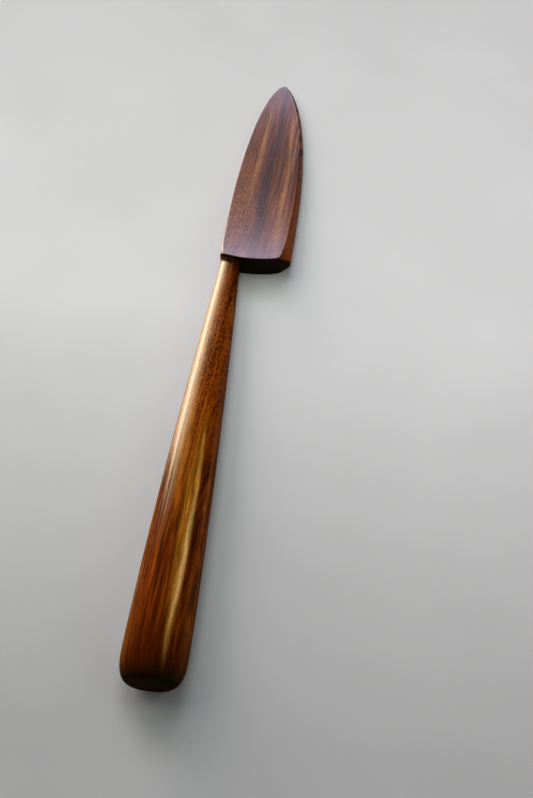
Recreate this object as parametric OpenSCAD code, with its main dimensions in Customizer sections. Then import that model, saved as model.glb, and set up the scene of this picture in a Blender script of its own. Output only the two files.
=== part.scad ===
// Wooden butter knife: a bevelled blade board with a slim handle glued into its heel by a round tenon.
// Lengths are in millimetres. X runs across the blade from the spine to the edge, Y runs from the butt
// to the tip, and Z = 0 is the surface that the knife lies on, under the middle of its outline.

/* [Blade] */
// Length along the middle line, from the heel to the tip
blade_length = 78.8; // [60:0.1:110]
// Width at the widest place
blade_width = 19.2; // [14:0.1:28]
// Thickness at the heel
heel_thickness = 6; // [5:0.1:9]
// Thickness at the tip
tip_thickness = 1.8; // [0.8:0.1:3]
// Extra thickness that the top face swells up to at the heel
heel_swell = 1.5; // [0:0.1:2]
// Length over which the swell dies away
swell_length = 16; // [10:0.5:30]
// Width of the blunt point in plan
tip_width = 0.5; // [0.3:0.1:2]
// Distance from the heel to the widest place
widest_from_heel = 17; // [8:0.5:30]
// How much each side draws in from the widest place to the heel
heel_draw_in = 0.15; // [0:0.05:0.6]
// Radius of the bowed heel in plan
heel_radius = 26; // [18:0.5:60]
// Distance of the bow's crest from the middle line, towards the spine
heel_crest_offset = 1; // [0:0.1:3]
// Distance that the spine stands proud of the neck
spine_ledge = 0.4; // [0:0.1:1]
// Distance that the top face stands proud of the neck
top_ledge = 0.9; // [0.3:0.05:1.2]
// Distance that the underside stands proud of the neck
under_ledge = 0.4; // [0:0.05:0.8]

/* [Edges of the blade] */
// Width of each bevel beside the edge, at the heel
bevel_width = 2.1; // [1:0.1:3.5]
// Extra width that the bevels flare to at the heel
bevel_flare = 1.5; // [0:0.1:3]
// Height of the blunt edge at the heel
edge_height = 2; // [0.8:0.1:3]
// Chamfer along the spine, at the heel
spine_chamfer = 0.2; // [0.1:0.05:1]
// Extra chamfer that the spine flares to at the heel
spine_flare = 0.8; // [0:0.1:1]
// Length over which the flares die away
flare_length = 2.2; // [1:0.1:6]

/* [Handle] */
// Length from the butt to the heel of the blade
handle_length = 126.2; // [90:0.1:160]
// Width of the neck where it meets the heel
neck_width = 5.3; // [4.6:0.1:7]
// Radius of the cove that sweeps the neck up to the heel
cove_radius = 2.5; // [1.5:0.1:5]
// Step that is left between the cove and the top face
cove_step = 0.1; // [0:0.05:0.3]
// Width at the butt
butt_width = 14.6; // [10:0.1:20]
// Height at the butt
butt_height = 10; // [7:0.1:14]
// Length of the rounded end of the butt
butt_round = 8; // [4:0.5:14]

/* [Tenon joint] */
// Diameter of the tenon on the end of the neck
tenon_diameter = 3.2; // [2.4:0.1:3.6]
// Length of the tenon past the heel
tenon_length = 9; // [6:0.5:11]
// Chamfer on the end of the tenon
tenon_chamfer = 0.5; // [0.2:0.1:0.8]
// Thickness of the glue between the tenon and its socket
glue_gap = 0.1; // [0.05:0.05:0.2]
// Depth of the glue pocket past the end of the tenon
glue_pocket = 0.8; // [0.3:0.1:1.5]

/* [Hidden] */
round_sides = 64;
// Length by which cuts and lofts run past the faces that they make
overrun = 1;

// Shape of each side of the blade: fullness of its belly, then sharpness of its run to the point
spine_powers = [2, 0.52];
edge_powers = [2.45, 0.7];
// Most that the bevel and the chamfer may take near the point, of the side that they cut
bevel_limit_share = 0.7;
chamfer_limit_share = 0.25;
blade_rings = 40;
face_steps = 4;
// How strongly the blade's sections crowd towards its two ends
crowding_share = 0.87;

// Shape of the handle: how soon it swells from the neck, and how square its sections and butt are
swell_power = 1.45;
section_power = 2.2;
butt_plan_power = 3;
butt_side_power = 2.4;
// Size of the flat on the end of the butt as a share of the butt
butt_flat_share = 0.3;
// How much of the cove's rise goes round to the neck's sides and underside
cove_side_share = 0.35;
handle_rings = 24;
cove_rings = 5;
butt_rings = 7;
section_points = 36;

// Places, measured from the butt's end and from the handle's middle line
total_length = handle_length + blade_length;
blade_mid = blade_width / 2 - neck_width / 2 - spine_ledge;
heel_crest = blade_mid - heel_crest_offset;
// Distance that the bowed heel falls back at the edge
heel_sag = heel_radius - sqrt(pow(heel_radius, 2) - pow(blade_width / 2 + heel_crest_offset, 2));
neck_height = heel_thickness - top_ledge - under_ledge;
tenon_axis_height = under_ledge + neck_height / 2;
cove_rise = top_ledge - cove_step;
cove_length = sqrt(pow(cove_radius, 2) - pow(cove_radius - cove_rise, 2));
// Place of the heel's face over the handle's middle line
neck_end = handle_length + heel_radius - sqrt(pow(heel_radius, 2) - pow(heel_crest, 2));
left_reach = max(butt_width / 2, blade_width / 2 - blade_mid);
right_reach = max(butt_width / 2, blade_width / 2 + blade_mid);
to_middle = [(left_reach - right_reach) / 2, -total_length / 2, 0];

walnut_brown = [0.38, 0.24, 0.2];
rosewood_orange = [0.43, 0.18, 0.05];
glue_amber = [0.85, 0.75, 0.5];

// Solid through closed rings that all have the same number of points
module loft(rings) {
    count = len(rings[0]);
    last = (len(rings) - 1) * count;
    sides = [
        for (i = [0 : len(rings) - 2])
            for (j = [0 : count - 1])
                let (next = (j + 1) % count, a = i * count, b = a + count)
                    each [[a + j, b + j, b + next], [a + j, b + next, a + next]]
    ];
    first_cap = [for (j = [0 : count - 1]) j];
    last_cap = [for (j = [count - 1 : -1 : 0]) last + j];
    polyhedron(points = [for (r = rings) each r], faces = concat([first_cap], sides, [last_cap]));
}

// Blade, by distance d from the heel along the middle line
function blade_thickness(d) =
    let (past = max(0, d), body = heel_thickness - heel_swell)
    body + (tip_thickness - body) * past / blade_length + heel_swell * exp(-past / swell_length);

// Distance of one side from the middle line
function blade_side(d, powers) =
    d < widest_from_heel
        ? blade_width / 2 - heel_draw_in * pow((widest_from_heel - d) / widest_from_heel, 2)
        : let (s = min(1, (d - widest_from_heel) / (blade_length - widest_from_heel)))
            tip_width / 2 + (blade_width - tip_width) / 2 * pow(1 - pow(s, powers[0]), powers[1]);

// Flares start from where the bowed heel has fallen halfway back
function flare(d) = exp(-max(0, d - heel_sag / 2) / flare_length);

// One section of the blade: along the top from the spine to the edge, and back along the underside
function blade_ring(d) =
    let (
        y = handle_length + d,
        spine_side = blade_side(d, spine_powers),
        edge_side = blade_side(d, edge_powers),
        t = blade_thickness(d),
        thin = t / heel_thickness,
        bevel_limit = edge_side * bevel_limit_share,
        bevel = min(bevel_width * thin + bevel_flare * flare(d), bevel_limit),
        chamfer_limit = min(spine_side, t) * chamfer_limit_share,
        chamfer = min(spine_chamfer * thin + spine_flare * flare(d), chamfer_limit),
        left = blade_mid - spine_side,
        right = blade_mid + edge_side,
        face_left = left + chamfer,
        face_width = right - bevel - face_left,
        edge_half = edge_height * thin / 2,
        across = [for (k = [0 : face_steps]) face_left + face_width * k / face_steps]
    )
    concat(
        [[left, y, t - chamfer]],
        [for (x = across) [x, y, t]],
        [[right, y, t / 2 + edge_half], [right, y, t / 2 - edge_half]],
        [for (k = [face_steps : -1 : 0]) [across[k], y, 0]],
        [[left, y, chamfer]]
    );

// Distance of section k from the heel: the sections crowd towards the heel's flare and the point
function blade_station(k) =
    let (s = k / blade_rings) blade_length * (s - crowding_share * sin(360 * s) / (2 * PI));

// Disc whose rim is the bowed heel
module heel_disc() {
    translate([heel_crest, handle_length + heel_radius, -overrun])
        cylinder(h = heel_thickness + 2 * overrun, r = heel_radius, $fn = 4 * round_sides);
}

module behind_heel() {
    difference() {
        translate([blade_mid - blade_width, handle_length - 2 * overrun, -overrun])
            cube([2 * blade_width, heel_sag + 3 * overrun, heel_thickness + 2 * overrun]);
        heel_disc();
    }
}

// Round rod along Y that starts at y, on the tenon's axis
module rod(y, length, diameter) {
    translate([0, y, tenon_axis_height])
        rotate([-90, 0, 0])
            cylinder(h = length, d = diameter, $fn = round_sides);
}

module tenon() {
    root = handle_length - overrun;
    straight_end = handle_length + tenon_length - tenon_chamfer;
    rod(root, straight_end - root, tenon_diameter);
    translate([0, straight_end, tenon_axis_height])
        rotate([-90, 0, 0])
            cylinder(
                h = tenon_chamfer,
                d1 = tenon_diameter,
                d2 = tenon_diameter - 2 * tenon_chamfer,
                $fn = round_sides
            );
}

module socket() {
    rod(handle_length - overrun, tenon_length + glue_pocket + overrun, tenon_diameter + 2 * glue_gap);
}

module blade() {
    rings = concat(
        [blade_ring(-overrun)],
        [for (k = [0 : blade_rings]) blade_ring(blade_station(k))]
    );
    color(walnut_brown)
        translate(to_middle)
            difference() {
                loft(rings);
                behind_heel();
                socket();
            }
}

// Handle, by distance y from the butt's end: 0 from the butt to the full width, 1 at the heel
function reach(y) = max(0, y - butt_round) / (handle_length - butt_round);
function handle_width(y) = butt_width + (neck_width - butt_width) * pow(reach(y), swell_power);
function handle_height(y) = butt_height + (neck_height - butt_height) * pow(reach(y), swell_power);

function butt_factor(y, power) =
    y >= butt_round
        ? 1
        : butt_flat_share + (1 - butt_flat_share) * pow(1 - pow(1 - y / butt_round, power), 1 / power);

function square_round(c) = sign(c) * pow(abs(c), 2 / section_power);

// How far the cove has swept out from the neck
function cove(y) =
    let (past = min(cove_length, max(0, y - neck_end + cove_length)))
    cove_radius - sqrt(pow(cove_radius, 2) - pow(past, 2));

function handle_ring(y) =
    let (
        top_cove = cove(y),
        side_cove = top_cove * cove_side_share,
        half_width = handle_width(y) / 2 * butt_factor(y, butt_plan_power) + side_cove,
        full_height = handle_height(y),
        half_height = full_height / 2 * butt_factor(y, butt_side_power),
        // The underside runs straight from the butt up to the neck
        middle = under_ledge * reach(y) + full_height / 2
    )
    [
        for (j = [0 : section_points - 1])
            let (a = 180 - 360 * j / section_points, rise = sin(a) > 0 ? top_cove : side_cove)
                [half_width * square_round(cos(a)), y, middle + (half_height + rise) * square_round(sin(a))]
    ];

module handle() {
    grip_length = neck_end - cove_length - butt_round;
    rings = concat(
        [for (k = [0 : butt_rings - 1]) handle_ring(butt_round * (1 - cos(90 * k / butt_rings)))],
        [for (k = [0 : handle_rings]) handle_ring(butt_round + grip_length * k / handle_rings)],
        [for (k = [1 : cove_rings]) handle_ring(neck_end - cove_length * (1 - k / cove_rings))],
        [handle_ring(handle_length + heel_sag)]
    );
    color(rosewood_orange)
        translate(to_middle) {
            difference() {
                loft(rings);
                heel_disc();
            }
            tenon();
        }
}

module glue_line() {
    color(glue_amber)
        translate(to_middle)
            difference() {
                intersection() {
                    socket();
                    heel_disc();
                }
                tenon();
            }
}

blade();
handle();
glue_line();
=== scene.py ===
from math import cos, exp, pi, radians, sin, sqrt

import bpy
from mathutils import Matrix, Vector


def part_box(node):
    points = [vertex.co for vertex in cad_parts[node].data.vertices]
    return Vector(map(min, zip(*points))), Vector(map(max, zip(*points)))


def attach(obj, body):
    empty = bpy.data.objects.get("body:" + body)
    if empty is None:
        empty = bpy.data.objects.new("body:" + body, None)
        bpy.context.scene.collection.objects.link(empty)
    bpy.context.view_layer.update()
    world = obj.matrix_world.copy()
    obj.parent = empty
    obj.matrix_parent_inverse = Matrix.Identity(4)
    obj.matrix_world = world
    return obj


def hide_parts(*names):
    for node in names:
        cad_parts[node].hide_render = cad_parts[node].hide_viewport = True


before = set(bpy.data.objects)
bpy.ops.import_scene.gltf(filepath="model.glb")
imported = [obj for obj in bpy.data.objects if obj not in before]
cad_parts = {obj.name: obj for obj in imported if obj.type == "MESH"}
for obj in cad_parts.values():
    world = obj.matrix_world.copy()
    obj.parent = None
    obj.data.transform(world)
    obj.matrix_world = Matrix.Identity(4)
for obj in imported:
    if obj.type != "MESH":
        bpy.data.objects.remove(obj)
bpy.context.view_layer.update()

MM = 0.001

# Sizes of the knife. What the frame can tell is measured there, and the rest is given as real sizes.
blade_low, blade_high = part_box("blade")
handle_low, handle_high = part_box("handle")
glue_low, glue_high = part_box("glue_line")

# Blade: X across from the spine to the edge, Y from the heel to the tip
BLADE_MID_X = (blade_low.x + blade_high.x) / 2
BLADE_WIDTH = blade_high.x - blade_low.x
HEEL_Y = blade_low.y
BLADE_LENGTH = blade_high.y - HEEL_Y
HEEL_THICKNESS = blade_high.z
TIP_THICKNESS = 1.8 * MM
HEEL_SWELL = 1.5 * MM
HEEL_SWELL_LENGTH = 16 * MM
TIP_WIDTH = 0.5 * MM
WIDEST_FROM_HEEL = 17 * MM
HEEL_DRAW_IN = 0.15 * MM
HEEL_RADIUS = 26 * MM
HEEL_CREST_OFFSET = 1 * MM
HEEL_CREST_X = BLADE_MID_X - HEEL_CREST_OFFSET
BOW_FADE = 25 * MM
SPINE_POWERS = (2, 0.52)
EDGE_POWERS = (2.45, 0.7)
BEVEL_WIDTH = 2.1 * MM
BEVEL_FLARE = 1.5 * MM
BEVEL_LIMIT_SHARE = 0.7
EDGE_HEIGHT = 2 * MM
SPINE_CHAMFER = 0.2 * MM
SPINE_FLARE = 0.8 * MM
CHAMFER_LIMIT_SHARE = 0.25
FLARE_LENGTH = 2.2 * MM
HEEL_EASE = 0.22 * MM
ARRIS_RADIUS = 0.12 * MM
BEVEL_ARRIS_RADIUS = 0.25 * MM
CORNER_REACH_SHARE = 0.45

# How finely the blade is drawn. Its sections crowd together at the heel and the tip.
BLADE_STATIONS = 150
END_CROWDING_SHARE = 0.8
HEEL_EASE_STEPS = 5
ARC_STEPS = 5
SIDE_STEPS = 2
CHAMFER_STEPS = 1
FACE_STEPS = 22
BEVEL_STEPS = 4

# Handle: a slim oval along Y from the butt to the neck
AXIS_X = (handle_low.x + handle_high.x) / 2
BUTT_Y = handle_low.y
HANDLE_LENGTH = HEEL_Y - BUTT_Y
BUTT_WIDTH = handle_high.x - handle_low.x
BUTT_HEIGHT = handle_high.z
NECK_WIDTH = 5.3 * MM
TOP_LEDGE = 0.9 * MM
UNDER_LEDGE = 0.4 * MM
NECK_HEIGHT = HEEL_THICKNESS - TOP_LEDGE - UNDER_LEDGE
COVE_RADIUS = 2.5 * MM
COVE_STEP = 0.1 * MM
COVE_LENGTH = sqrt(COVE_RADIUS**2 - (COVE_RADIUS - TOP_LEDGE + COVE_STEP) ** 2)
COVE_SIDE_SHARE = 0.35
BUTT_ROUND = 8 * MM
BUTT_FLAT_SHARE = 0.3
BUTT_PLAN_POWER = 3
BUTT_SIDE_POWER = 2.4
SWELL_POWER = 1.45
SECTION_POWER = 2.2
SHOULDER_FADE = 14 * MM

# Unevenness from hand work: its depth, and the length per radian and winding of three waves
HAND_WORK = 0.05 * MM
SHAVING_WAVE = 7.1 * MM
SHAVING_SWAY = 1.3
SANDING_WAVE = 3.9 * MM
SANDING_TURNS = 2
SLOW_WAVE = 12.7 * MM
SLOW_TURNS = -3

# How finely the handle is drawn
SECTION_POINTS = 96
BUTT_RINGS = 28
GRIP_RINGS = 120
COVE_RINGS = 8

# Joint: a round tenon in one piece with the neck, glued into the heel, where a socket is meant to be
TENON_AXIS_Z = (glue_low.z + glue_high.z) / 2
SOCKET_RADIUS = (glue_high.x - glue_low.x) / 2
GLUE_GAP = 0.1 * MM
TENON_RADIUS = SOCKET_RADIUS - GLUE_GAP
TENON_END_Y = handle_high.y
TENON_CHAMFER = 0.5 * MM
SOCKET_END_Y = glue_high.y
SOCKET_SIDES = 64
DRILL_OVERRUN = 1 * MM

# Edges that turn by more than this stay crisp
CRISP_ANGLE = radians(32)


def heel_sag(x):
    """How far the bowed heel lies behind its crest at x."""
    return HEEL_RADIUS - sqrt(HEEL_RADIUS**2 - (x - HEEL_CREST_X) ** 2)


EDGE_SAG = heel_sag(BLADE_MID_X + BLADE_WIDTH / 2)


def blade_thickness(d):
    """Thickness at d from the heel: an even taper to the tip, swelling towards the heel."""
    d = max(0.0, d)
    even_at_heel = HEEL_THICKNESS - HEEL_SWELL
    even = even_at_heel + (TIP_THICKNESS - even_at_heel) * d / BLADE_LENGTH
    return even + HEEL_SWELL * exp(-d / HEEL_SWELL_LENGTH)


def blade_side(d, powers):
    """Distance of one side from the middle line, at d from the heel."""
    if d < WIDEST_FROM_HEEL:
        return BLADE_WIDTH / 2 - HEEL_DRAW_IN * ((WIDEST_FROM_HEEL - d) / WIDEST_FROM_HEEL) ** 2
    share = min(1.0, (d - WIDEST_FROM_HEEL) / (BLADE_LENGTH - WIDEST_FROM_HEEL))
    fullness, sharpness = powers
    return TIP_WIDTH / 2 + (BLADE_WIDTH - TIP_WIDTH) / 2 * (1 - share**fullness) ** sharpness


def flare(d):
    """How much the bevel and the chamfer widen near the heel, from 1 down to 0."""
    return exp(-max(0.0, d - EDGE_SAG / 2) / FLARE_LENGTH)


def eased_corner(before, corner, after, radius):
    """Points of a rounded corner, as a parabola that touches both of its sides."""
    points = []
    to_before = before - corner
    to_after = after - corner
    shorter = min(to_before.length, to_after.length)
    cut_back = min(radius, CORNER_REACH_SHARE * shorter)
    start = corner + to_before.normalized() * cut_back
    end = corner + to_after.normalized() * cut_back
    for step in range(ARC_STEPS + 1):
        s = step / ARC_STEPS
        points.append(start * (1 - s) ** 2 + corner * 2 * s * (1 - s) + end * s**2)
    return points


def blade_upper_half(station):
    """Upper half of one blade section in (x, z), from the middle of the spine to the middle of the edge."""
    bow = max(0.0, 1 - station / BOW_FADE) ** 2
    spine_side = blade_side(station, SPINE_POWERS)
    edge_side = blade_side(station, EDGE_POWERS)
    left = BLADE_MID_X - spine_side
    right = BLADE_MID_X + edge_side
    thickness = blade_thickness(station)
    thin = thickness / HEEL_THICKNESS
    edge_flare = flare(station + bow * heel_sag(right))
    spine_flare = flare(station + bow * heel_sag(left))
    bevel = min(BEVEL_WIDTH * thin + BEVEL_FLARE * edge_flare, edge_side * BEVEL_LIMIT_SHARE)
    chamfer_limit = min(spine_side, thickness) * CHAMFER_LIMIT_SHARE
    chamfer = min(SPINE_CHAMFER * thin + SPINE_FLARE * spine_flare, chamfer_limit)
    edge_top = thickness / 2 + EDGE_HEIGHT * thin / 2
    corners = [
        Vector((left, thickness / 2)),
        Vector((left, thickness - chamfer)),
        Vector((left + chamfer, thickness)),
        Vector((right - bevel, thickness)),
        Vector((right, edge_top)),
        Vector((right, thickness / 2)),
    ]
    radii = [0, ARRIS_RADIUS, ARRIS_RADIUS, BEVEL_ARRIS_RADIUS, ARRIS_RADIUS, 0]
    steps_before = [0, SIDE_STEPS, CHAMFER_STEPS, FACE_STEPS, BEVEL_STEPS, SIDE_STEPS]
    points = [corners[0]]
    for i in range(1, len(corners)):
        if i < len(corners) - 1:
            arc = eased_corner(corners[i - 1], corners[i], corners[i + 1], radii[i])
        else:
            arc = [corners[i]]
        last = points[-1]
        for step in range(1, steps_before[i]):
            points.append(last.lerp(arc[0], step / steps_before[i]))
        points.extend(arc)
    return points, thickness, bow


def blade_ring(station, inset):
    """One closed section of the blade, drawn in by inset and bowed where it is near the heel."""
    upper, thickness, bow = blade_upper_half(max(station, 0.0))
    across = 1 - inset / (BLADE_WIDTH / 2)
    through = 1 - inset / (thickness / 2)
    middle = thickness / 2
    lower = [Vector((p.x, thickness - p.y)) for p in reversed(upper[1:-1])]
    ring = []
    for point in upper + lower:
        x = BLADE_MID_X + (point.x - BLADE_MID_X) * across
        d = station + bow * heel_sag(x)
        z = (middle + (point.y - middle) * through) * blade_thickness(d) / thickness
        ring.append(Vector((x, HEEL_Y + d, z)))
    return ring


def skin(rings):
    """Quads between rings that all have the same number of points."""
    count = len(rings[0])
    faces = []
    for i in range(len(rings) - 1):
        for j in range(count):
            after = (j + 1) % count
            faces.append((i * count + j, (i + 1) * count + j, (i + 1) * count + after, i * count + after))
    return faces


def mirrored_cap(first, count, flip):
    """Strips that close a section whose lower half mirrors its upper half."""
    half = count // 2
    faces = []
    for j in range(half):
        face = [first + j, first + j + 1, first + (count - j - 1) % count, first + (count - j) % count]
        face = list(dict.fromkeys(face))
        faces.append(tuple(reversed(face)) if flip else tuple(face))
    return faces


def add_piece(name, rings, caps, material):
    """A piece through rings of points, with caps for its two ends. Its faces look inwards."""
    points = [tuple(p) for ring in rings for p in ring]
    mesh = bpy.data.meshes.new(name)
    mesh.from_pydata(points, [], skin(rings) + caps)
    mesh.validate()
    mesh.shade_smooth()
    mesh.set_sharp_from_angle(angle=CRISP_ANGLE)
    mesh.materials.append(material)
    piece = bpy.data.objects.new(name, mesh)
    bpy.context.scene.collection.objects.link(piece)
    return piece


def blade_piece(material):
    """The blade: an eased heel marked with the socket's rim, and a leaf outline with a bevelled edge."""
    rings = []
    for step in range(HEEL_EASE_STEPS + 1):
        turn = pi / 2 * (1 - step / HEEL_EASE_STEPS)
        rings.append(blade_ring(HEEL_EASE * (1 - sin(turn)), HEEL_EASE * (1 - cos(turn))))
    for k in range(1, BLADE_STATIONS + 1):
        s = k / BLADE_STATIONS
        crowded = s - END_CROWDING_SHARE * sin(2 * pi * s) / (2 * pi)
        rings.append(blade_ring(HEEL_EASE + (BLADE_LENGTH - HEEL_EASE) * crowded, 0.0))
    count = len(rings[0])
    last = (len(rings) - 1) * count
    caps = mirrored_cap(0, count, False) + mirrored_cap(last, count, True)
    return rim_marked(add_piece("blade_board", rings, caps, material))


def rim_marked(board):
    """The board after a cut with a drill of the socket's size. The faces of both look inwards, so the cut
    leaves only the socket's rim on the heel, and no hollow."""
    rings = []
    for y in (HEEL_Y - DRILL_OVERRUN, SOCKET_END_Y):
        ring = []
        for k in range(SOCKET_SIDES):
            a = 2 * pi * k / SOCKET_SIDES
            ring.append(Vector((AXIS_X + SOCKET_RADIUS * cos(a), y, TENON_AXIS_Z + SOCKET_RADIUS * sin(a))))
        rings.append(ring)
    near = tuple(range(SOCKET_SIDES))
    far = tuple(reversed(range(SOCKET_SIDES, 2 * SOCKET_SIDES)))
    drill = add_piece("socket_drill", rings, [near, far], board.data.materials[0])
    cut = board.modifiers.new("socket", "BOOLEAN")
    cut.operation = "DIFFERENCE"
    cut.solver = "EXACT"
    cut.object = drill
    bpy.context.view_layer.update()
    done = board.evaluated_get(bpy.context.evaluated_depsgraph_get())
    mesh = bpy.data.meshes.new_from_object(done)
    board.modifiers.clear()
    board.data = mesh
    mesh.set_sharp_from_angle(angle=CRISP_ANGLE)
    bpy.data.objects.remove(drill)
    return board


def reach(y):
    """0 from the butt to the end of its rounding, 1 at the heel."""
    return max(0.0, y - BUTT_ROUND) / (HANDLE_LENGTH - BUTT_ROUND)


def butt_factor(y, power):
    """Share of the full section at y from the butt, where the butt is rounded off."""
    if y >= BUTT_ROUND:
        return 1.0
    return BUTT_FLAT_SHARE + (1 - BUTT_FLAT_SHARE) * (1 - (1 - y / BUTT_ROUND) ** power) ** (1 / power)


def square_round(c):
    """Turns a cosine or sine into that of an oval with slightly squared shoulders."""
    return (1 if c >= 0 else -1) * abs(c) ** (2 / SECTION_POWER)


def hand_work(y, angle):
    """Shallow unevenness that a spokeshave and sandpaper leave, always below the full shape."""
    shaving = sin(y / SHAVING_WAVE + SHAVING_SWAY * sin(angle))
    sanding = sin(y / SANDING_WAVE + SANDING_TURNS * angle)
    slow = sin(y / SLOW_WAVE + SLOW_TURNS * angle)
    return HAND_WORK * ((shaving + sanding + slow) / 3 - 1) / 2


def neck_cove(y):
    """How far the small hollow round at the heel stands out from the neck."""
    past = max(0.0, y - HANDLE_LENGTH + COVE_LENGTH)
    return COVE_RADIUS - sqrt(COVE_RADIUS**2 - past**2)


def handle_ring(y, shoulder):
    """One section of the handle at y from the butt. With shoulder 1 it lies on the bowed heel."""
    swell = reach(y) ** SWELL_POWER
    height = BUTT_HEIGHT + (NECK_HEIGHT - BUTT_HEIGHT) * swell
    half_width = (BUTT_WIDTH + (NECK_WIDTH - BUTT_WIDTH) * swell) / 2 * butt_factor(y, BUTT_PLAN_POWER)
    half_height = height / 2 * butt_factor(y, BUTT_SIDE_POWER)
    middle = UNDER_LEDGE * reach(y) + height / 2
    cove = neck_cove(y)
    ring = []
    for j in range(SECTION_POINTS):
        angle = pi - 2 * pi * j / SECTION_POINTS
        wear = hand_work(y, angle)
        x = AXIS_X + (half_width + wear + cove * COVE_SIDE_SHARE) * square_round(cos(angle))
        top_cove = cove if sin(angle) > 0 else cove * COVE_SIDE_SHARE
        z = middle + (half_height + wear + top_cove) * square_round(sin(angle))
        ring.append(Vector((x, BUTT_Y + y + shoulder * heel_sag(x), z)))
    return ring


def tenon_ring(y, radius, on_heel):
    """One round section of the tenon, flat or lying on the bowed heel."""
    ring = []
    for j in range(SECTION_POINTS):
        angle = pi - 2 * pi * j / SECTION_POINTS
        x = AXIS_X + radius * cos(angle)
        seat = y + heel_sag(x) if on_heel else y
        ring.append(Vector((x, seat, TENON_AXIS_Z + radius * sin(angle))))
    return ring


def handle_piece(material):
    """The handle: a rounded butt, a tapering grip, the cove at the neck and the chamfered tenon."""
    rings = []
    for k in range(BUTT_RINGS):
        rings.append(handle_ring(BUTT_ROUND * (1 - cos(pi / 2 * k / BUTT_RINGS)), 0.0))
    grip_end = HANDLE_LENGTH - COVE_LENGTH
    places = [BUTT_ROUND + (grip_end - BUTT_ROUND) * k / GRIP_RINGS for k in range(GRIP_RINGS + 1)]
    places += [grip_end + COVE_LENGTH * k / COVE_RINGS for k in range(1, COVE_RINGS + 1)]
    for y in places:
        shoulder = max(0.0, 1 - (HANDLE_LENGTH - y) / SHOULDER_FADE) ** 2
        rings.append(handle_ring(y, shoulder))
    rings.append(tenon_ring(HEEL_Y, TENON_RADIUS, True))
    rings.append(tenon_ring(TENON_END_Y - TENON_CHAMFER, TENON_RADIUS, False))
    rings.append(tenon_ring(TENON_END_Y, TENON_RADIUS - TENON_CHAMFER, False))
    last = (len(rings) - 1) * SECTION_POINTS
    butt_cap = tuple(range(SECTION_POINTS))
    tenon_cap = tuple(reversed(range(last, last + SECTION_POINTS)))
    return add_piece("oval_handle", rings, [butt_cap, tenon_cap], material)


def to_linear(hex_colour):
    """Linear colour of an sRGB hex value."""
    channels = [int(hex_colour[i:i + 2], 16) / 255 for i in (1, 3, 5)]
    linear = [c / 12.92 if c <= 0.04045 else ((c + 0.055) / 1.055) ** 2.4 for c in channels]
    return (*linear, 1.0)


def add(tree, kind, inputs, stops=None, **settings):
    """Adds a node, sets or links its inputs by name or number, and gives its outputs."""
    node = tree.nodes.new("ShaderNode" + kind)
    for key, value in settings.items():
        setattr(node, key, value)
    for key, value in inputs.items():
        if isinstance(value, bpy.types.NodeSocket):
            tree.links.new(value, node.inputs[key])
        else:
            node.inputs[key].default_value = value
    if stops:
        ramp = node.color_ramp
        while len(ramp.elements) < len(stops):
            ramp.elements.new(0.5)
        for element, (position, colour) in zip(ramp.elements, stops):
            element.position = position
            element.color = to_linear(colour)
    return node.outputs


def new_material(name):
    """A material with an empty node tree."""
    material = bpy.data.materials.new(name)
    material.use_nodes = True
    material.node_tree.nodes.clear()
    return material, material.node_tree


# Noise rarely leaves this range
NOISE_LOW = 0.3
NOISE_HIGH = 0.7

# The wood's figure: sizes in millimetres across, along and through the board, and levels
WANDER_SIZE = (3, 16, 3)
WANDER_REACH = (0.3, 0, 0.3)
GROWTH_LINE_SIZE = (0.4, 20, 1)
TONE_SIZE = (2, 12, 2)
TONE_DARKEST = 0.78
TONE_LIGHTEST = 1.22
FIBRE_LOW = 0.25
FIBRE_HIGH = 0.75
PORE_SIZE = (0.28, 1.5, 0.28)
PORE_CROWD_SIZE = (2.5, 9, 2.5)
PORE_CROWD_LOW = 0.35
PORE_CROWD_HIGH = 0.65
PORE_LEAST_REACH_SHARE = 0.1
PORE_MOST_REACH_SHARE = 0.4
PORE_CORE_SHARE = 0.06
PORE_STRENGTH = 0.75
DARK_FLECK_START = 0.5
DARK_FLECK_FULL = 0.66
PALE_FLECK_START = 0.48
PALE_FLECK_FULL = 0.34
PORE_COLOUR = "#1A0802"

# Surface: heights in millimetres, and how squarely a face must look along or across the grain
FIBRE_HEIGHT = 0.02
PORE_DEPTH = 0.003
END_GRAIN_AND_SHADE_START = 0.15
END_GRAIN_AND_SHADE_FULL = 0.7
SIDE_START = 0.3
SIDE_FULL = 0.8
# The end grain's near-black colour is partly its own and partly painted shade
END_GRAIN_AND_SHADE_COLOUR = "#0E0603"
END_GRAIN_ROUGHNESS = 0.6
OILED_WOOD_IOR = 1.5


def lens_depth(tree, place, middle, half_size, lean):
    """0 outside a long lens of one colour in the wood, rising to 1 at its middle."""
    local = add(tree, "Mapping", {"Vector": place, "Location": middle, "Rotation": (0, 0, radians(lean)),
                                  "Scale": half_size}, vector_type="TEXTURE")[0]
    return add(tree, "TexGradient", {"Vector": local}, gradient_type="SPHERICAL")["Fac"]


def wandering_grain(tree, mm):
    """Place in the wood when the grain sways sideways by a fraction of a millimetre."""
    wander_place = add(tree, "VectorMath", {0: mm, 1: WANDER_SIZE}, operation="DIVIDE")[0]
    wander = add(tree, "TexNoise", {"Vector": wander_place, "Scale": 1.0, "Detail": 1.0})["Color"]
    centred = add(tree, "VectorMath", {0: wander, 1: (0.5, 0.5, 0.5)}, operation="SUBTRACT")[0]
    bend = add(tree, "VectorMath", {0: centred, 1: WANDER_REACH}, operation="MULTIPLY")[0]
    return add(tree, "VectorMath", {0: mm, 1: bend}, operation="ADD")[0]


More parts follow.
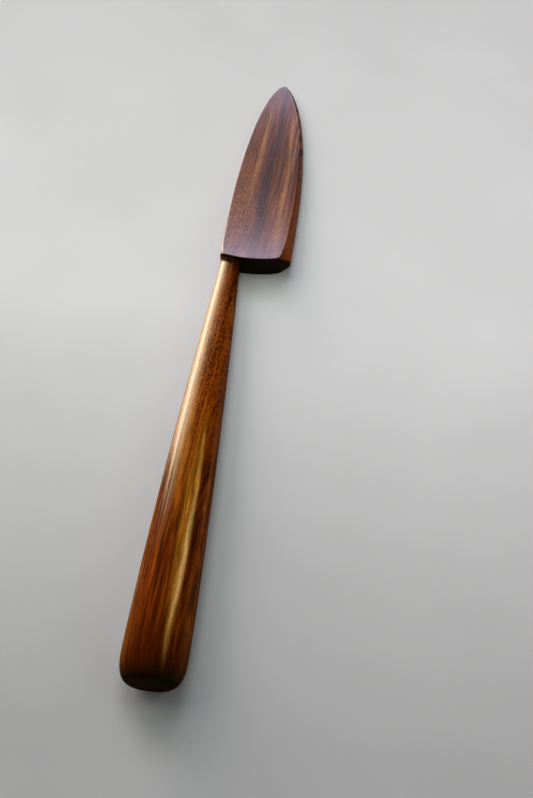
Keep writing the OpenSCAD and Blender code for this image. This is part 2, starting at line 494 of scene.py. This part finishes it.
def growth_lines(tree, grain, pith, stops):
    """Colour of the growth lines, which lie on rounds about the pith, about half a millimetre apart."""
    from_pith = add(tree, "VectorMath", {0: grain, 1: pith}, operation="SUBTRACT")[0]
    flat = add(tree, "VectorMath", {0: from_pith, 1: (1, 0, 1)}, operation="MULTIPLY")[0]
    radius = add(tree, "VectorMath", {0: flat}, operation="LENGTH")["Value"]
    along = add(tree, "SeparateXYZ", {"Vector": grain})["Y"]
    on_round = add(tree, "CombineXYZ", {"X": radius, "Y": along})[0]
    line_place = add(tree, "VectorMath", {0: on_round, 1: GROWTH_LINE_SIZE}, operation="DIVIDE")[0]
    growth = add(tree, "TexNoise", {"Vector": line_place, "Scale": 1.0, "Detail": 4.0, "Roughness": 0.65},
                 noise_dimensions="2D")["Fac"]
    return add(tree, "ValToRGB", {"Fac": growth}, stops=stops)["Color"]


def streaked_and_painted(tree, grain, colour, fibre, least_share, streaks_and_painted_light):
    """The colour with lenses of other colours, drawn out along the grain and broken up by the fibres: the
    wood's streak colours, and on the handle also painted shade and painted highlight.
    """
    fibre_share = add(tree, "MapRange", {"Value": fibre, "From Min": NOISE_LOW, "From Max": NOISE_HIGH,
                                         "To Min": least_share, "To Max": 1.0})[0]
    for middle, half_size, lean, softness, strength, tint in streaks_and_painted_light:
        depth = lens_depth(tree, grain, middle, half_size, lean)
        amount = add(tree, "MapRange", {"Value": depth, "From Min": 0.0, "From Max": softness,
                                        "To Min": 0.0, "To Max": strength},
                     interpolation_type="SMOOTHSTEP")[0]
        share = add(tree, "Math", {0: amount, 1: fibre_share}, operation="MULTIPLY")[0]
        colour = add(tree, "Mix", {"Factor": share, "A": colour, "B": to_linear(tint)},
                     data_type="RGBA")["Result"]
    return colour


def toned(tree, grain, colour, fibre, darkest, lightest):
    """The colour with broad changes of tone, and with the lights and darks of the fibres."""
    tone_place = add(tree, "VectorMath", {0: grain, 1: TONE_SIZE}, operation="DIVIDE")[0]
    tone = add(tree, "TexNoise", {"Vector": tone_place, "Scale": 1.0, "Detail": 2.0})["Fac"]
    tone_level = add(tree, "MapRange", {"Value": tone, "From Min": NOISE_LOW, "From Max": NOISE_HIGH,
                                        "To Min": TONE_DARKEST, "To Max": TONE_LIGHTEST})[0]
    fibre_level = add(tree, "MapRange", {"Value": fibre, "From Min": FIBRE_LOW, "From Max": FIBRE_HIGH,
                                         "To Min": darkest, "To Max": lightest})[0]
    level = add(tree, "Math", {0: tone_level, 1: fibre_level}, operation="MULTIPLY")[0]
    return add(tree, "VectorMath", {0: colour, "Scale": level}, operation="SCALE")[0]


def open_pores(tree, mm, grain):
    """Where the wood's pores lie open. They come in crowds, and are drawn coarse enough to show."""
    pore_place = add(tree, "VectorMath", {0: grain, 1: PORE_SIZE}, operation="DIVIDE")[0]
    pore_gap = add(tree, "TexVoronoi", {"Vector": pore_place, "Scale": 1.0})["Distance"]
    crowd_place = add(tree, "VectorMath", {0: mm, 1: PORE_CROWD_SIZE}, operation="DIVIDE")[0]
    crowd = add(tree, "TexNoise", {"Vector": crowd_place, "Scale": 1.0})["Fac"]
    pore_reach = add(tree, "MapRange", {"Value": crowd,
                                        "From Min": PORE_CROWD_LOW, "From Max": PORE_CROWD_HIGH,
                                        "To Min": PORE_LEAST_REACH_SHARE,
                                        "To Max": PORE_MOST_REACH_SHARE})[0]
    return add(tree, "MapRange", {"Value": pore_gap, "From Min": pore_reach, "From Max": PORE_CORE_SHARE,
                                  "To Min": 0.0, "To Max": PORE_STRENGTH})[0]


def flecked(tree, mm, colour, pore, flecks):
    """The colour and the pores with short pale and dark flecks in the zones where the grain dives into the
    face. The flecks are drawn as coarse as the pores."""
    slant, fleck_size, dark_share, pale_share, fleck_light, fleck_zones = flecks
    fleck_place = add(tree, "Mapping", {"Vector": mm, "Rotation": (0, 0, radians(slant)),
                                        "Scale": fleck_size}, vector_type="TEXTURE")[0]
    fleck = add(tree, "TexNoise", {"Vector": fleck_place, "Scale": 1.0, "Detail": 0.5})["Fac"]
    dark_fleck = add(tree, "MapRange", {"Value": fleck, "From Min": DARK_FLECK_START,
                                        "From Max": DARK_FLECK_FULL, "To Min": 0.0, "To Max": dark_share})[0]
    pale_fleck = add(tree, "MapRange", {"Value": fleck, "From Min": PALE_FLECK_START,
                                        "From Max": PALE_FLECK_FULL, "To Min": 0.0, "To Max": pale_share})[0]
    for middle, half_size in fleck_zones:
        zone = lens_depth(tree, mm, middle, half_size, 0)
        zone_dark = add(tree, "Math", {0: dark_fleck, 1: zone}, operation="MULTIPLY", use_clamp=True)[0]
        zone_pale = add(tree, "Math", {0: pale_fleck, 1: zone}, operation="MULTIPLY", use_clamp=True)[0]
        pore = add(tree, "Math", {0: pore, 1: zone_dark}, operation="MAXIMUM")[0]
        colour = add(tree, "Mix", {"Factor": zone_pale, "A": colour, "B": to_linear(fleck_light)},
                     data_type="RGBA")["Result"]
    colour = add(tree, "Mix", {"Factor": pore, "A": colour, "B": to_linear(PORE_COLOUR)},
                 data_type="RGBA")["Result"]
    return colour, pore


def rubbed_gloss(tree, mm, facing, fibre, gloss, dull):
    """Roughness of the rubbed oil. It is less rubbed on the sides named dull, and in the dull zones."""
    least, most = gloss
    dull_spine, dull_edge, dull_zones = dull
    roughness = add(tree, "MapRange", {"Value": fibre, "From Min": NOISE_LOW, "From Max": NOISE_HIGH,
                                       "To Min": least, "To Max": most})[0]
    for side, more in ((1, dull_edge), (-1, dull_spine)):
        side_more = add(tree, "MapRange", {"Value": facing["X"], "From Min": side * SIDE_START,
                                           "From Max": side * SIDE_FULL, "To Min": 0.0, "To Max": more})[0]
        roughness = add(tree, "Math", {0: roughness, 1: side_more}, operation="ADD")[0]
    for middle, half_size, more in dull_zones:
        zone = lens_depth(tree, mm, middle, half_size, 0)
        roughness = add(tree, "Math", {0: zone, 1: more, 2: roughness}, operation="MULTIPLY_ADD")[0]
    return roughness


def oiled_rosewood(name, pith, growth_stops, streaks_and_painted_light, fibre_figure, flecks, dull, gloss, gloss_tint):
    """Rosewood, planed and sanded along the grain and rubbed with oil: dark growth lines, fine open pores
    and paler streaks under a satin gloss. Lengths are in millimetres from the middle of the butt."""
    material, tree = new_material(name)
    place = add(tree, "TexCoord", {})
    facing = add(tree, "SeparateXYZ", {"Vector": place["Normal"]})
    butt_middle = (AXIS_X, BUTT_Y, 0)
    from_butt = add(tree, "VectorMath", {0: place["Object"], 1: butt_middle}, operation="SUBTRACT")[0]
    mm = add(tree, "VectorMath", {0: from_butt, "Scale": 1 / MM}, operation="SCALE")[0]
    grain = wandering_grain(tree, mm)

    # Fibres, drawn wide enough to show
    fibre_size, darkest, lightest, least_share = fibre_figure
    fibre_place = add(tree, "VectorMath", {0: grain, 1: fibre_size}, operation="DIVIDE")[0]
    fibre = add(tree, "TexNoise", {"Vector": fibre_place, "Scale": 1.0, "Detail": 3.0,
                                   "Roughness": 0.6})["Fac"]

    colour = growth_lines(tree, grain, pith, growth_stops)
    colour = streaked_and_painted(tree, grain, colour, fibre, least_share, streaks_and_painted_light)
    colour = toned(tree, grain, colour, fibre, darkest, lightest)
    pore = open_pores(tree, mm, grain)
    colour, pore = flecked(tree, mm, colour, pore, flecks)
    roughness = rubbed_gloss(tree, mm, facing, fibre, gloss, dull)

    # End grain drinks the oil and goes dark and dull; its near-black is also painted shade on the end faces
    square_on = add(tree, "Math", {0: facing["Y"]}, operation="ABSOLUTE")[0]
    end_grain_and_shade = add(tree, "MapRange", {"Value": square_on, "From Min": END_GRAIN_AND_SHADE_START,
                                       "From Max": END_GRAIN_AND_SHADE_FULL})[0]
    colour = add(tree, "Mix", {"Factor": end_grain_and_shade, "A": colour, "B": to_linear(END_GRAIN_AND_SHADE_COLOUR)},
                 data_type="RGBA")["Result"]
    roughness = add(tree, "Mix", {"Factor": end_grain_and_shade, "A": roughness, "B": END_GRAIN_ROUGHNESS})["Result"]

    # Depth of the surface in millimetres: fibres stand up a little, and pores are open
    fibre_height = add(tree, "Math", {0: fibre, 1: FIBRE_HEIGHT}, operation="MULTIPLY")[0]
    height = add(tree, "Math", {0: pore, 1: -PORE_DEPTH, 2: fibre_height}, operation="MULTIPLY_ADD")[0]
    bump = add(tree, "Bump", {"Height": height, "Strength": 1.0, "Distance": MM})["Normal"]
    wood = add(tree, "BsdfPrincipled", {"Base Color": colour, "Roughness": roughness, "Normal": bump,
                                        "IOR": OILED_WOOD_IOR,
                                        "Specular Tint": to_linear(gloss_tint)})["BSDF"]
    add(tree, "OutputMaterial", {"Surface": wood})
    return material


GLUE_BEAD_SIZE = 0.6 * MM
GLUE_BEAD_HEIGHT = 0.05 * MM
GLUE_SHADES = [(0.35, "#B9924E"), (0.65, "#DCC48A")]
GLUE_LEAST_ROUGH = 0.28
GLUE_MOST_ROUGH = 0.45
GLUE_IOR = 1.48


def cured_wood_glue():
    """Yellow wood glue, squeezed out and cured: a hard amber film with a skin gloss."""
    material, tree = new_material("cured_wood_glue")
    place = add(tree, "TexCoord", {})["Object"]
    bead_place = add(tree, "VectorMath", {0: place, "Scale": 1 / GLUE_BEAD_SIZE}, operation="SCALE")[0]
    beads = add(tree, "TexNoise", {"Vector": bead_place, "Scale": 1.0, "Detail": 2.0})["Fac"]
    colour = add(tree, "ValToRGB", {"Fac": beads}, stops=GLUE_SHADES)["Color"]
    roughness = add(tree, "MapRange", {"Value": beads, "From Min": NOISE_LOW, "From Max": NOISE_HIGH,
                                       "To Min": GLUE_LEAST_ROUGH, "To Max": GLUE_MOST_ROUGH})[0]
    bump = add(tree, "Bump", {"Height": beads, "Strength": 0.3, "Distance": GLUE_BEAD_HEIGHT})["Normal"]
    glue = add(tree, "BsdfPrincipled", {"Base Color": colour, "Roughness": roughness, "Normal": bump,
                                        "IOR": GLUE_IOR})["BSDF"]
    add(tree, "OutputMaterial", {"Surface": glue})
    return material


# Floor: painted shade from the near line to the far one, soft clouds, and the distance where the room takes
# over
ROOM_COLOUR = "#C8C8C8"
FLOOR_PAINTED_SHADE = [(0.1, "#ADADAD"), (0.24, "#C4C4C4"), (0.4, "#DBDBDB"), (0.55, "#D6D6D6"), (0.92, "#C0C0C0")]
FLOOR_NEAR_Y = -150 * MM
FLOOR_FAR_Y = 250 * MM
FLOOR_FADE_START = 400 * MM
FLOOR_FADE_END = 1000 * MM
FLOOR_HALF = 1200 * MM
CLOUD_SIZE = 40 * MM
CLOUD_DARKEST = 0.97
CLOUD_LIGHTEST = 1.03
MIRRORED_WARMTH = "#A5845C"
MIRRORED_SHEEN = "#FFE9BE"
PAINT_ROUGHNESS = 0.08
MIRRORED_IOR = 2.6


def pale_floor():
    """Pale board with satin paint, with painted shade that makes it darker towards the near side and a
    little darker far off, and that fades into the pale room. It looks matt from above, and in what the knife
    mirrors it is warm and glossy."""
    material, tree = new_material("pale_satin_paint")
    place = add(tree, "TexCoord", {})["Object"]
    across = add(tree, "SeparateXYZ", {"Vector": place})["Y"]
    near_to_far = add(tree, "MapRange", {"Value": across, "From Min": FLOOR_NEAR_Y,
                                         "From Max": FLOOR_FAR_Y})[0]
    shade = add(tree, "ValToRGB", {"Fac": near_to_far}, stops=FLOOR_PAINTED_SHADE)["Color"]
    cloud_place = add(tree, "VectorMath", {0: place, "Scale": 1 / CLOUD_SIZE}, operation="SCALE")[0]
    cloud = add(tree, "TexNoise", {"Vector": cloud_place, "Scale": 1.0, "Detail": 3.0})["Fac"]
    cloud_level = add(tree, "MapRange", {"Value": cloud, "From Min": NOISE_LOW, "From Max": NOISE_HIGH,
                                         "To Min": CLOUD_DARKEST, "To Max": CLOUD_LIGHTEST})[0]
    colour = add(tree, "VectorMath", {0: shade, "Scale": cloud_level}, operation="SCALE")[0]
    mirrored = add(tree, "LightPath", {})["Is Glossy Ray"]
    warm = add(tree, "VectorMath", {0: colour, 1: to_linear(MIRRORED_WARMTH)[:3]}, operation="MULTIPLY")[0]
    colour = add(tree, "Mix", {"Factor": mirrored, "A": colour, "B": warm}, data_type="RGBA")["Result"]
    paint = add(tree, "BsdfPrincipled", {"Base Color": colour, "Roughness": PAINT_ROUGHNESS,
                                         "IOR": MIRRORED_IOR, "Specular Tint": to_linear(MIRRORED_SHEEN),
                                         "Specular IOR Level": mirrored})["BSDF"]
    far = add(tree, "VectorMath", {0: place}, operation="LENGTH")["Value"]
    fade = add(tree, "MapRange", {"Value": far, "From Min": FLOOR_FADE_START, "From Max": FLOOR_FADE_END},
               interpolation_type="SMOOTHSTEP")[0]
    haze = add(tree, "Emission", {"Color": to_linear(ROOM_COLOUR)})[0]
    board = add(tree, "MixShader", {0: fade, 1: paint, 2: haze})[0]
    add(tree, "OutputMaterial", {"Surface": board})
    return material


# The figure of the two woods, and on the handle some lenses of painted shade and painted highlight: (middle,
# half size, lean in degrees, softness, strength, colour)
TAN = "#CBA160"
GOLD = "#B68634"
OCHRE = "#A06618"
ORANGE = "#8C3E02"
UMBER = "#240A00"
CHESTNUT = "#541800"
HANDLE_STREAKS_AND_PAINTED_LIGHT = [
    # The first two lenses are painted shade: they darken the butt towards its end, which looks away from the
    # light
    ((0, 0, 5), (14, 34, 14), 0.0, 1.0, 0.75, UMBER),
    ((0, 0, 5), (14, 19, 14), 0.0, 0.75, 1.0, UMBER),
    # These two lenses are painted shade under the heel's ledge, where the neck meets the heel
    ((1.5, 127, 5), (6, 6.5, 6), 0.0, 0.7, 1.1, UMBER),
    ((2.3, 122, 7), (1.7, 11, 9), 0.0, 0.8, 0.8, UMBER),
    ((-2.0, 14, 7), (7, 26, 14), 0.0, 1.0, 0.6, CHESTNUT),
    ((1.5, 42, 9), (2.0, 38, 14), 0.8, 1.0, 0.9, OCHRE),
    # This ochre lens is partly the wood's streak and partly painted highlight, widened where the gloss on
    # the left flank fades
    ((-1.5, 62, 8), (1.6, 32, 14), 0.0, 1.0, 0.75, OCHRE),
    ((2.8, 97, 7), (0.8, 34, 14), 0.0, 0.8, 0.85, ORANGE),
    # This ochre lens along the left rim is partly the wood's colour and partly painted reflection that
    # lightens the rim
    ((-6.8, 44, 5), (1.5, 54, 14), 0.0, 0.8, 0.7, OCHRE),
    ((5.2, 26, 9), (0.9, 16, 14), 0.0, 0.8, 0.7, ORANGE),
    ((6.6, 56, 6), (1.6, 38, 14), 0.0, 0.7, 0.85, ORANGE),
    ((0.3, 34, 9), (0.6, 18, 14), 0.8, 0.7, 0.65, UMBER),
    ((5.9, 58, 8), (0.5, 34, 14), 0.6, 0.7, 0.8, UMBER),
    ((5.2, 60, 8), (0.35, 26, 14), 0.6, 0.7, 0.8, ORANGE),
    ((7.1, 34, 6), (0.5, 24, 14), 0.0, 0.7, 0.7, UMBER),
    ((2.1, 96, 8), (0.5, 20, 14), 0.5, 0.7, 0.6, UMBER),
    ((-0.9, 19, 9), (0.6, 14, 14), 0.0, 0.7, 0.8, UMBER),
    ((-2.5, 28, 9), (0.6, 14, 14), 0.0, 0.7, 0.8, UMBER),
    ((-4.4, 42, 8), (0.5, 18, 14), 0.0, 0.7, 0.6, UMBER),
    ((6.2, 21, 9), (0.6, 10, 14), 0.0, 0.7, 0.8, UMBER),
    ((4.4, 38, 9), (1.0, 42, 16), 0.7, 0.7, 0.65, UMBER),
    ((2.6, 54, 9), (0.75, 24, 16), 1.8, 0.8, 0.9, GOLD),
    ((2.7, 24, 9), (1.3, 26, 16), -0.4, 1.0, 0.9, GOLD),
    ((2.9, 30, 9), (0.9, 24, 16), -0.4, 0.9, 1.0, TAN),
]
PLUM = "#280A18"
FAWN = "#A0703E"
RUST = "#7A3C14"
BLADE_STREAKS = [
    ((6.0, 158, 4), (2.8, 38, 14), 0.0, 0.8, 0.9, PLUM),
    ((5.6, 151, 4), (2.0, 18, 14), 0.0, 0.8, 1.0, PLUM),
    ((7.4, 186, 3), (2.0, 28, 14), 0.0, 0.9, 0.75, PLUM),
    ((9.4, 160, 4), (1.1, 24, 14), 0.0, 1.0, 0.45, PLUM),
    ((0.2, 150, 4), (2.6, 28, 14), -1.0, 1.0, 0.6, RUST),
    ((11.4, 138, 5), (1.9, 11, 14), 0.0, 1.0, 0.9, FAWN),
    ((15.2, 136, 3), (2.2, 28, 14), 0.0, 0.8, 0.8, ORANGE),
    ((2.9, 173, 3), (1.0, 36, 14), -2.5, 0.9, 0.8, FAWN),
    ((11.5, 154, 4), (1.0, 26, 14), -1.2, 0.9, 0.9, FAWN),
    ((10.9, 180, 3), (0.8, 20, 14), 2.2, 0.8, 0.75, FAWN),
    ((12.5, 172, 3), (0.6, 14, 14), -1.0, 0.8, 0.7, FAWN),
    ((13.8, 166, 3), (1.2, 26, 14), 0.0, 0.8, 0.75, PLUM),
]

# Growth lines from the darkest wood to the lightest
HANDLE_GROWTH = [(0.34, "#380E00"), (0.44, "#5C2000"), (0.54, "#742E00"), (0.68, "#904600")]
BLADE_GROWTH = [(0.32, "#3C1808"), (0.44, "#5A2A12"), (0.56, "#6E3718"), (0.7, "#8A5026")]
HANDLE_PITH = (-40, 0, -34)
BLADE_PITH = (-40, 0, -45)

# Fibres: (size, darkest level, lightest level, least share of a streak)
HANDLE_FIBRE = ((0.3, 8, 0.3), 0.5, 1.46, 0.6)
BLADE_FIBRE = ((0.18, 4, 0.18), 0.76, 1.22, 0.5)

# Flecks: (slant in degrees, size, dark share, pale share, pale colour, zones as middle and half size)
HANDLE_FLECK_ZONES = [((0, 92, 6), (12, 46, 14))]
HANDLE_FLECKS = (0, (0.24, 1.0, 0.24), 0.7, 1.0, "#96480A", HANDLE_FLECK_ZONES)
BLADE_FLECK_ZONES = [((0.2, 146, 5), (7, 28, 14)), ((11.4, 138, 5), (5.0, 18, 14))]
BLADE_FLECKS = (-30, (0.19, 1.1, 0.19), 0.6, 0.75, "#B06C34", BLADE_FLECK_ZONES)

# Dull places: (more roughness on the spine side, more on the edge side, zones with theirs)
HANDLE_DULL = (0.0, 0.1, [])
BLADE_DULL_ZONES = [
    ((6, 127, 5), (18, 36, 14), 0.1),
    ((-3.1, 129, 6), (1.6, 7, 4), -0.3),
    ((5, 205, 3), (14, 18, 14), 0.02),
]
BLADE_DULL = (0.35, 0.1, BLADE_DULL_ZONES)

# Gloss: (least roughness, most), and the tint of what it mirrors
HANDLE_GLOSS = (0.11, 0.15)
HANDLE_GLOSS_TINT = "#FFE695"
BLADE_GLOSS = (0.1, 0.13)
BLADE_GLOSS_TINT = "#FFFFFF"

handle_wood = oiled_rosewood("rosewood_rubbed_with_oil", HANDLE_PITH, HANDLE_GROWTH, HANDLE_STREAKS_AND_PAINTED_LIGHT,
                             HANDLE_FIBRE, HANDLE_FLECKS, HANDLE_DULL, HANDLE_GLOSS, HANDLE_GLOSS_TINT)
blade_wood = oiled_rosewood("rosewood_sanded_and_oiled", BLADE_PITH, BLADE_GROWTH, BLADE_STREAKS,
                            BLADE_FIBRE, BLADE_FLECKS, BLADE_DULL, BLADE_GLOSS, BLADE_GLOSS_TINT)

blade = blade_piece(blade_wood)
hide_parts("blade")
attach(blade, "root")

handle = handle_piece(handle_wood)
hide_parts("handle")
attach(handle, "root")

glue_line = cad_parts["glue_line"]
glue_line.data.materials.clear()
glue_line.data.materials.append(cured_wood_glue())

floor_mesh = bpy.data.meshes.new("floor")
floor_corners = [(-FLOOR_HALF, -FLOOR_HALF, 0), (FLOOR_HALF, -FLOOR_HALF, 0),
                 (FLOOR_HALF, FLOOR_HALF, 0), (-FLOOR_HALF, FLOOR_HALF, 0)]
floor_mesh.from_pydata(floor_corners, [], [(0, 1, 2, 3)])
floor_mesh.materials.append(pale_floor())
floor = bpy.data.objects.new("floor", floor_mesh)
bpy.context.scene.collection.objects.link(floor)

# A large side light that is dimmer towards its top, a cool one behind, and light that only fills: (name,
# turn and rise in degrees, distance, width and height in metres, radiance, colour, shown in the gloss)
SOFTBOXES = [
    ("side_light", 34.2, 7.5, 2.4, 1.49, 0.98, 13.6, "#FCF3F0", True),
    ("side_light_top", 32, 26, 2.4, 1.16, 0.59, 8, "#FFF3ED", True),
    ("side_light_rim", 27.5, 37, 2.4, 1.06, 0.34, 2.8, "#FFE7DA", True),
    ("back_light_rim", 4, 38, 2.4, 1.04, 0.34, 0.6, "#FFF0DC", True),
    ("back_light", 4, 28, 2.0, 1.0, 0.3, 8.2, "#CAD4FC", True),
    ("back_fill", 6, 42, 2.2, 1.0, 1.0, 4.5, "#FAFFFB", False),
    ("left_fill", 75, 38, 1.5, 0.8, 0.8, 2.5, "#FAFFFB", False),
    ("right_fill", -75, 38, 1.5, 0.8, 0.8, 1.6, "#FAFFFB", False),
    ("top_fill", 0, 75, 0.6, 0.4, 0.4, 0.9, "#FAFFFB", False),
    ("front_fill", 180, 55, 1.2, 0.6, 0.6, 1.5, "#FAFFFB", False),
]


def softbox(name, turn, rise, distance, width, height, radiance, colour, mirrored):
    """A soft lamp that looks at the knife from a turn left of +Y and a rise above the floor."""
    lamp = bpy.data.lights.new(name, "AREA")
    lamp.shape = "RECTANGLE"
    lamp.size = width
    lamp.size_y = height
    lamp.energy = radiance * pi * width * height
    lamp.color = to_linear(colour)[:3]
    level = cos(radians(rise))
    away = Vector((-sin(radians(turn)) * level, cos(radians(turn)) * level, sin(radians(rise))))
    holder = bpy.data.objects.new(name, lamp)
    holder.location = away * distance
    holder.rotation_euler = away.to_track_quat("Z", "Y").to_euler()
    holder.visible_camera = False
    holder.visible_glossy = mirrored
    bpy.context.scene.collection.objects.link(holder)


for settings in SOFTBOXES:
    softbox(*settings)

# A dim room, whose walls are seen plain and pale
WALL_SHADES = [(0.0, ROOM_COLOUR), (0.08, "#2A2A2C"), (0.4, "#161618")]
world = bpy.data.worlds.new("dim_room")
world.use_nodes = True
room_tree = world.node_tree
room_tree.nodes.clear()
sky = add(room_tree, "TexCoord", {})["Generated"]
rise = add(room_tree, "SeparateXYZ", {"Vector": sky})["Z"]
walls = add(room_tree, "ValToRGB", {"Fac": rise}, stops=WALL_SHADES)["Color"]
seen = add(room_tree, "LightPath", {})["Is Camera Ray"]
plain = add(room_tree, "Mix", {"Factor": seen, "A": walls, "B": to_linear(ROOM_COLOUR)},
            data_type="RGBA")["Result"]
room = add(room_tree, "Background", {"Color": plain, "Strength": 1.0})["Background"]
add(room_tree, "OutputWorld", {"Surface": room})
bpy.context.scene.world = world

# Camera above the butt end and a little to its right, looking down the knife
AIM = Vector((10.45, -18.9, 0)) * MM
VIEW_TILT = radians(51.24)
VIEW_TURN = radians(6.75)
VIEW_DISTANCE = 331.3 * MM
LENS_LENGTH = 59.64
SENSOR_WIDTH = 36
NEAR_CLIP = 10 * MM
camera_data = bpy.data.cameras.new("camera")
camera_data.lens = LENS_LENGTH
camera_data.sensor_width = SENSOR_WIDTH
camera_data.clip_start = NEAR_CLIP
camera = bpy.data.objects.new("camera", camera_data)
toward = Vector((sin(VIEW_TURN) * cos(VIEW_TILT), -cos(VIEW_TURN) * cos(VIEW_TILT), sin(VIEW_TILT)))
camera.location = AIM + toward * VIEW_DISTANCE
camera.rotation_euler = toward.to_track_quat("Z", "Y").to_euler()
bpy.context.scene.collection.objects.link(camera)
bpy.context.scene.camera = camera
bpy.context.scene.view_settings.view_transform = "Standard"
